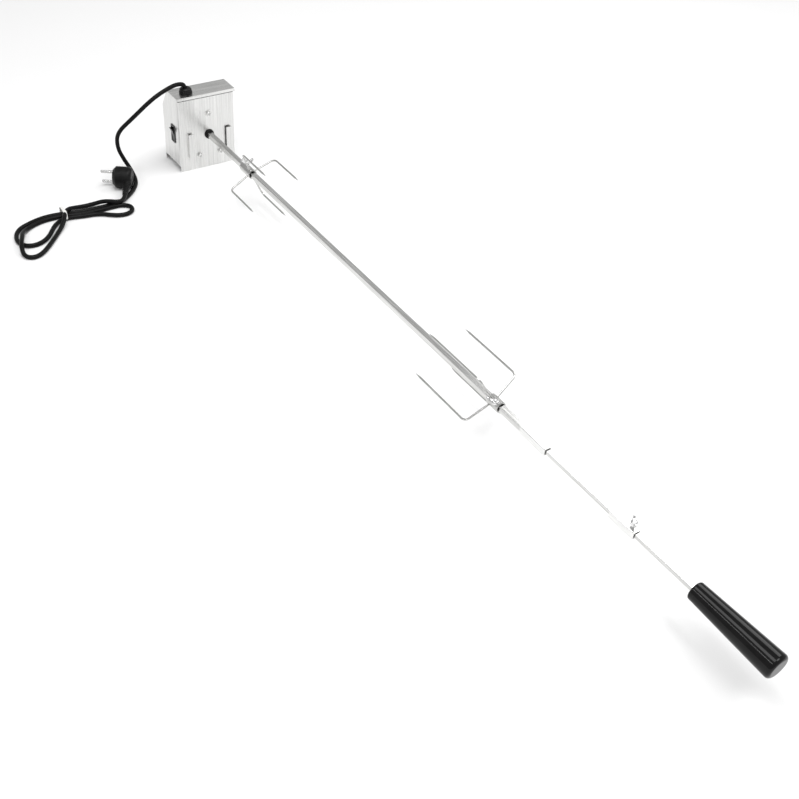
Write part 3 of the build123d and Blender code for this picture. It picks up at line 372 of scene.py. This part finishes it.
# ---------------------------------------------------------------- case sheets
# The motor's case is 1 mm stainless sheet, brushed along its height on the front and the sides and
# across on the lid.  The front shell, the lid with the back, and the base tray are folded pieces.
# The lid, back and base tray share a copy of the steel whose dark end is set lower than the front's.
# This is painted shade that makes the lid look dimmer than the front; it is the same steel.
def brushed(name, stretch, dark, light, smooth, rough, depth=0.000012):
    """Sheet or bar steel with fine brushing lines along one axis, and a few broader streaks."""
    material, shader = surface(name, metallic=1.0)
    colour_from(material, shader, mottle(material, 0.0011, stretch, 6.0), dark, light)
    roughness_from(material, shader, mottle(material, 0.0006, stretch, 5.0), smooth, rough)
    relief_from(material, shader, mottle(material, 0.00035, stretch, 3.0), depth, 0.6)
    return material


upright_brush = brushed("stainless_brushed_upright", (1, 1, 90), (0.62, 0.62, 0.61),
                        (0.82, 0.82, 0.81), 0.24, 0.38)
# painted shade: this copy of the steel runs darker at its dark end than the front's, to dim the lid
lid_brush_painted_shade = brushed("stainless_brushed_across_painted_shade", (1, 90, 1), (0.50, 0.50, 0.49),
                    (0.88, 0.88, 0.87), 0.22, 0.36)
paint(upright_brush, "front_shell", "bracket_guides")
paint(lid_brush_painted_shade, "rear_cover", "base_plate")

# ---------------------------------------------------------------- screws and washers
# Three M4 cross-head screws with plain washers hold the gearbox to the front plate; small ones hold
# the back cover.  All are bright nickel plate over steel.
bright, shader = surface("bright_nickel", metallic=1.0)
colour_from(bright, shader, mottle(bright, 0.002), (0.62, 0.62, 0.61), (0.80, 0.80, 0.79))
roughness_from(bright, shader, mottle(bright, 0.0015), 0.14, 0.30)
relief_from(bright, shader, mottle(bright, 0.0005), 0.000012)
paint(bright, "front_screws", "front_washers", "case_rear_screws", "gear_plate_screws",
      "motor_screws")

# ---------------------------------------------------------------- rocker switch
# A black rocker snaps into the left side.  Its moulded frame has a fine matt grain and its rocker is
# a little glossier; two brass tabs inside take the leads.
switch_plastic, shader = surface("switch_frame_plastic", specular=0.6)
colour_from(switch_plastic, shader, mottle(switch_plastic, 0.003), (0.004, 0.004, 0.004),
            (0.010, 0.010, 0.010))
roughness_from(switch_plastic, shader, mottle(switch_plastic, 0.002), 0.10, 0.18)
relief_from(switch_plastic, shader, mottle(switch_plastic, 0.0004), 0.00003)
rocker_plastic, shader = surface("rocker_plastic", specular=0.2)
colour_from(rocker_plastic, shader, mottle(rocker_plastic, 0.004), (0.003, 0.003, 0.003),
            (0.007, 0.007, 0.007))
roughness_from(rocker_plastic, shader, mottle(rocker_plastic, 0.003), 0.16, 0.26)
relief_from(rocker_plastic, shader, mottle(rocker_plastic, 0.0006), 0.00001)
paint(switch_plastic, "switch_body")
paint(rocker_plastic, "switch_rocker")

# ---------------------------------------------------------------- cable gland
# A black nylon gland clamps the cord where it enters the lid.  Its dome nut has flutes for the
# fingers, and it squeezes a rubber seal.
gland_nylon, shader = surface("gland_nylon", specular=0.2)
colour_from(gland_nylon, shader, mottle(gland_nylon, 0.004), (0.003, 0.003, 0.003),
            (0.008, 0.008, 0.008))
roughness_from(gland_nylon, shader, mottle(gland_nylon, 0.003), 0.24, 0.36)
relief_from(gland_nylon, shader, mottle(gland_nylon, 0.0005), 0.00002)
gland_rubber, shader = surface("gland_rubber", specular=0.3)
colour_from(gland_rubber, shader, mottle(gland_rubber, 0.003), (0.014, 0.014, 0.014),
            (0.026, 0.026, 0.026))
roughness_from(gland_rubber, shader, mottle(gland_rubber, 0.002), 0.55, 0.70)
relief_from(gland_rubber, shader, mottle(gland_rubber, 0.0006), 0.00004)
paint(gland_nylon, "gland_body", "gland_locknut")
paint(gland_rubber, "gland_seal")

gland_middle = Vector((-0.014, -0.031, 0.075))
nut_radius = 0.0095
flutes = 18
flute_depth = 0.045            # as a share of the nut's radius


def fluted(height, radius, angle):
    """Shallow finger flutes on the nut's side, gone at its rounded top and bottom."""
    on_side = radius > 0.92 * nut_radius and 0.0006 < height < 0.0040
    return 1 - flute_depth * max(0.0, math.cos(flutes * angle)) ** 2 if on_side else 1.0


nut_profile = [(0.0, 0.0034), (0.0, 0.0090), (0.0004, 0.0095), (0.0010, 0.0095), (0.0018, 0.0095),
               (0.0026, 0.0095), (0.0032, 0.0094), (0.0042, 0.0087), (0.0050, 0.0078),
               (0.0056, 0.0068), (0.0059, 0.0056), (0.0060, 0.0044), (0.0058, 0.0036),
               (0.0050, 0.0034)]
gland_nut = show(aim(turned("gland_dome_nut", nut_profile, 144, fluted), gland_middle, (0, 0, 1)),
                 gland_nylon, "housing")
round_edges(gland_nut, 0.0002)
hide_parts("gland_nut")

# ---------------------------------------------------------------- gearbox, inside the case
# Two zinc-plated plates on three posts carry the train: a steel gear on the hub, a brass wheel and
# a nylon wheel that turn on pressed-in spindles, and a brass pinion on the motor's shaft.
zinc = brushed("zinc_plate", (1, 3, 3), (0.42, 0.43, 0.42), (0.60, 0.61, 0.58), 0.30, 0.46, 0.00002)
paint(zinc, "gear_posts", "gear_plate_front", "gear_plate_rear", "gear_spindles", "motor_can",
      "rotor_shaft", "stator_poles", "output_gear")
gear_nylon, shader = surface("gear_nylon", specular=0.5)
colour_from(gear_nylon, shader, mottle(gear_nylon, 0.004), (0.66, 0.65, 0.58), (0.78, 0.77, 0.71))
roughness_from(gear_nylon, shader, mottle(gear_nylon, 0.002), 0.34, 0.50)
relief_from(gear_nylon, shader, mottle(gear_nylon, 0.0005), 0.00003)
gear_brass, shader = surface("gear_brass", metallic=1.0)
colour_from(gear_brass, shader, mottle(gear_brass, 0.002), (0.52, 0.38, 0.15), (0.70, 0.54, 0.26))
roughness_from(gear_brass, shader, mottle(gear_brass, 0.001), 0.22, 0.36)
relief_from(gear_brass, shader, mottle(gear_brass, 0.0004), 0.00001)
paint(gear_brass, "second_gear", "rotor_pinion", "switch_terminals")
paint(gear_nylon, "first_gear")

# ---------------------------------------------------------------- output hub
# The hub is turned steel with a dark oxide finish.  Its nose shows through the front plate, and its
# square socket drives the spit.
hub_oxide, shader = surface("hub_black_oxide", metallic=0.6, specular=0.2)
colour_from(hub_oxide, shader, mottle(hub_oxide, 0.002), (0.006, 0.006, 0.006),
            (0.022, 0.022, 0.022))
roughness_from(hub_oxide, shader, mottle(hub_oxide, 0.001), 0.34, 0.52)
relief_from(hub_oxide, shader, mottle(hub_oxide, 0.0004), 0.00002)
paint(hub_oxide, "output_hub")

# ---------------------------------------------------------------- motor, inside the case
# The synchronous motor is a steel can with a ring coil of enamelled copper around claw poles and a
# ferrite magnet on its shaft.
copper, shader = surface("enamelled_copper", metallic=0.8)
colour_from(copper, shader, mottle(copper, 0.0006, (1, 12, 12)), (0.36, 0.13, 0.05),
            (0.60, 0.27, 0.12))
roughness_from(copper, shader, mottle(copper, 0.0005, (1, 12, 12)), 0.24, 0.42)
relief_from(copper, shader, mottle(copper, 0.0004, (1, 20, 20)), 0.00008)
ferrite, shader = surface("ferrite", specular=0.4)
colour_from(ferrite, shader, mottle(ferrite, 0.001), (0.030, 0.030, 0.032), (0.060, 0.060, 0.063))
roughness_from(ferrite, shader, mottle(ferrite, 0.001), 0.55, 0.72)
relief_from(ferrite, shader, mottle(ferrite, 0.0004), 0.00004)
paint(copper, "stator_coil")
paint(ferrite, "rotor_magnet")

# ---------------------------------------------------------------- leads, inside the case
# Four PVC-covered leads: live from the gland to the switch, switched live on to the coil, neutral
# to the coil, and earth to the gear plate.
def lead_cover(name, dark, light):
    """Glossy PVC insulation with slight colour drift."""
    material, shader = surface(name, specular=0.5)
    colour_from(material, shader, mottle(material, 0.003), dark, light)
    roughness_from(material, shader, mottle(material, 0.002), 0.30, 0.42)
    relief_from(material, shader, mottle(material, 0.0006), 0.00002)
    return material


paint(lead_cover("lead_brown_pvc", (0.075, 0.026, 0.010), (0.110, 0.042, 0.018)), "lead_live",
      "lead_switched")
paint(lead_cover("lead_blue_pvc", (0.010, 0.055, 0.260), (0.020, 0.080, 0.340)), "lead_neutral")
paint(lead_cover("lead_green_pvc", (0.040, 0.200, 0.020), (0.080, 0.300, 0.030)), "lead_earth")

# ---------------------------------------------------------------- spit
# The spit is 8 mm square drawn steel, nickel plated, with drawing lines along its length.  A square
# tube sleeve joins it to the 6 mm rod that carries the handle.
spit_bar = brushed("spit_bar_steel", (60, 1, 1), (0.50, 0.50, 0.49), (0.80, 0.80, 0.79), 0.16, 0.30)
tube_steel = brushed("square_tube_steel", (20, 1, 1), (0.70, 0.70, 0.69), (0.90, 0.90, 0.89),
                     0.16, 0.28)
paint(spit_bar, "spit_rod", "thin_rod")
paint(tube_steel, "coupling_sleeve", "stop_bush")

# ---------------------------------------------------------------- handle
# The handle is moulded black phenolic, a little wider at its free end, with both rims rounded and
# a high polish from its mould.
handle_gloss, shader = surface("handle_phenolic", specular=0.22)
colour_from(handle_gloss, shader, mottle(handle_gloss, 0.010), (0.002, 0.002, 0.002),
            (0.006, 0.006, 0.006))
roughness_from(handle_gloss, shader, mottle(handle_gloss, 0.006), 0.06, 0.11)
relief_from(handle_gloss, shader, mottle(handle_gloss, 0.0012), 0.00001)
paint(handle_gloss, "handle")

# ---------------------------------------------------------------- forks
# Each fork has four pointed spring-steel wires welded to a tube collar.  Wires and collars share
# one bright drawn finish.
fork_steel = brushed("fork_steel", (20, 1, 1), (0.44, 0.44, 0.43), (0.70, 0.70, 0.69), 0.16, 0.28)
paint(fork_steel, "fork_1_collar", "fork_1_prongs", "fork_2_collar", "fork_2_prongs")

# ---------------------------------------------------------------- wing screws
# Three chromed M5 wing screws lock the forks and the bush.  Their shanks are threaded, and their
# two ears are pressed and rounded.
wing_chrome, shader = surface("wing_chrome", metallic=1.0)
colour_from(wing_chrome, shader, mottle(wing_chrome, 0.003), (0.66, 0.66, 0.66), (0.82, 0.82, 0.82))
roughness_from(wing_chrome, shader, mottle(wing_chrome, 0.002), 0.10, 0.22)
relief_from(wing_chrome, shader, mottle(wing_chrome, 0.0008), 0.00001)
thread_pitch = 0.0008
thread_crest = 0.00245
thread_depth = 0.00038
boss_segments = 40
wing_half_thick = 0.0011
wing_outline = [(0.0012, 0.0010), (0.0040, 0.0009), (0.0055, 0.0012), (0.0070, 0.0024),
                (0.0085, 0.0038), (0.0094, 0.0052), (0.0095, 0.0068), (0.0090, 0.0082),
                (0.0080, 0.0089), (0.0067, 0.0089), (0.0056, 0.0082), (0.0046, 0.0068),
                (0.0034, 0.0056), (0.0012, 0.0050)]


def threaded_shank(shape, tip, top):
    """A thread's crests climb one pitch a turn around the shank, from its tip up to the boss."""
    segments, rows = 32, int((top - tip) / (thread_pitch / 6))
    rings = []
    for row in range(rows + 1):
        height = tip + (top - tip) * row / rows
        ring = []
        for k in range(segments):
            phase = (height / thread_pitch - k / segments) % 1.0
            r = thread_crest - thread_depth * abs(2 * phase - 1)
            angle = 2 * math.pi * k / segments
            ring.append(shape.verts.new((r * math.cos(angle), r * math.sin(angle), height)))
        rings.append(ring)
    skin(shape, rings)


def wing_screw(name, seat, turn, wing_turn, tip, underside, node, body):
    """A wing screw that points at the spit's axis, as the CAD node it stands for."""
    shape = bmesh.new()
    threaded_shank(shape, tip, underside + 0.0008)
    boss = [(0.0, 0.0036), (0.0003, 0.0040), (0.0040, 0.0039), (0.0046, 0.0036), (0.0050, 0.0030)]
    rings = []
    for height, radius in boss:
        angles = [math.tau * k / boss_segments for k in range(boss_segments)]
        rings.append([shape.verts.new((radius * math.cos(angle), radius * math.sin(angle),
                                       underside + height)) for angle in angles])
    skin(shape, rings)
    for side in (-1, 1):
        near = [shape.verts.new((side * u, -wing_half_thick, underside + w))
                for u, w in wing_outline]
        far = [shape.verts.new((side * u, wing_half_thick, underside + w))
               for u, w in wing_outline]
        count = len(near)
        shape.faces.new(near)
        shape.faces.new(far[::-1])
        for k in range(count):
            shape.faces.new((near[k], far[k], far[(k + 1) % count], near[(k + 1) % count]))
    bmesh.ops.recalc_face_normals(shape, faces=shape.faces)
    mesh = mesh_of(shape, name)
    lift = math.radians(turn)
    out = Vector((0, math.sin(lift), math.cos(lift)))
    along = Vector((1, 0, 0))
    spread = along * math.cos(math.radians(wing_turn))
    spread += out.cross(along) * math.sin(math.radians(wing_turn))
    frame_turn = Matrix((spread, out.cross(spread), out)).transposed().to_4x4()
    mesh.transform(Matrix.Translation((seat, 0, 0)) @ frame_turn)
    piece = show(mesh, wing_chrome, body)
    round_edges(piece, 0.0005, 3)
    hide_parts(node)
    return piece


wing_screw("fork_1_wing", 0.134, 0, 70, 0.0043, 0.0115, "fork_1_wing_screw", "fork_1_screw")
wing_screw("fork_2_wing", 0.769, -40, 20, 0.00594, 0.0115, "fork_2_wing_screw", "fork_2_screw")
wing_screw("bush_wing", 0.998, 0, 140, 0.0033, 0.00925, "bush_wing_screw", "bush_screw")

# ---------------------------------------------------------------- floor and light
# The case and the cord rest on a plain pale surface under a broad overhead light.  A soft box
# beyond the spit lights the rod, and two strips draw the highlights along the handle.
ground = bmesh.new()
bmesh.ops.create_grid(ground, x_segments=2, y_segments=2, size=6.0)
bmesh.ops.translate(ground, vec=(0, 0, floor_height), verts=ground.verts)
floor = bpy.data.objects.new("floor", mesh_of(ground, "floor"))
bpy.context.collection.objects.link(floor)
pale, shader = surface("pale_floor", specular=0.2)
colour_from(pale, shader, mottle(pale, 0.5), (0.90, 0.90, 0.90), (0.92, 0.92, 0.92))
shader.inputs["Roughness"].default_value = 0.8
floor.data.materials.append(pale)


def soft_light(name, place, aim_at, size, power):
    """A square soft box that faces a point."""
    data = bpy.data.lights.new(name, "AREA")
    data.size = size
    data.energy = power
    light = bpy.data.objects.new(name, data)
    light.location = place
    light.rotation_euler = (Vector(aim_at) - Vector(place)).to_track_quat("-Z", "Y").to_euler()
    bpy.context.collection.objects.link(light)


def strip_light(name, place, aim_at, long, wide, power):
    """A long narrow soft box that faces a point and lies along the spit."""
    data = bpy.data.lights.new(name, "AREA")
    data.shape = "RECTANGLE"
    data.size, data.size_y = long, wide
    data.energy = power
    away = (Vector(place) - Vector(aim_at)).normalized()
    along = (Vector((1, 0, 0)) - away * away.x).normalized()
    light = bpy.data.objects.new(name, data)
    light.matrix_world = (Matrix.Translation(place)
                          @ Matrix((along, away.cross(along), away)).transposed().to_4x4())
    bpy.context.collection.objects.link(light)


sun_data = bpy.data.lights.new("overhead", "SUN")
sun_data.energy = 0.95
sun_data.angle = math.radians(28)
sun = bpy.data.objects.new("overhead", sun_data)
sun.rotation_euler = Vector((-15.6, -7.6, -58.0)).to_track_quat("-Z", "Y").to_euler()
bpy.context.collection.objects.link(sun)
soft_light("rod_box", (0.30, 1.30, 1.50), (1.0, 0.0, 0.0), 1.0, 11)
strip_light("handle_strip", (0.75, -0.45, 1.50), (1.15, 0.0, 0.0), 1.2, 0.55, 8.0)
strip_light("handle_strip_low", (0.62, -1.35, 1.30), (1.15, 0.0, 0.0), 1.2, 0.06, 3.5)
world = bpy.data.worlds.new("studio")
world.use_nodes = True
world.node_tree.nodes["Background"].inputs["Color"].default_value = (1, 1, 1, 1)
world.node_tree.nodes["Background"].inputs["Strength"].default_value = 0.55
bpy.context.scene.world = world
bpy.context.scene.view_settings.view_transform = "Standard"

# ---------------------------------------------------------------- the end
bpy.context.view_layer.update()
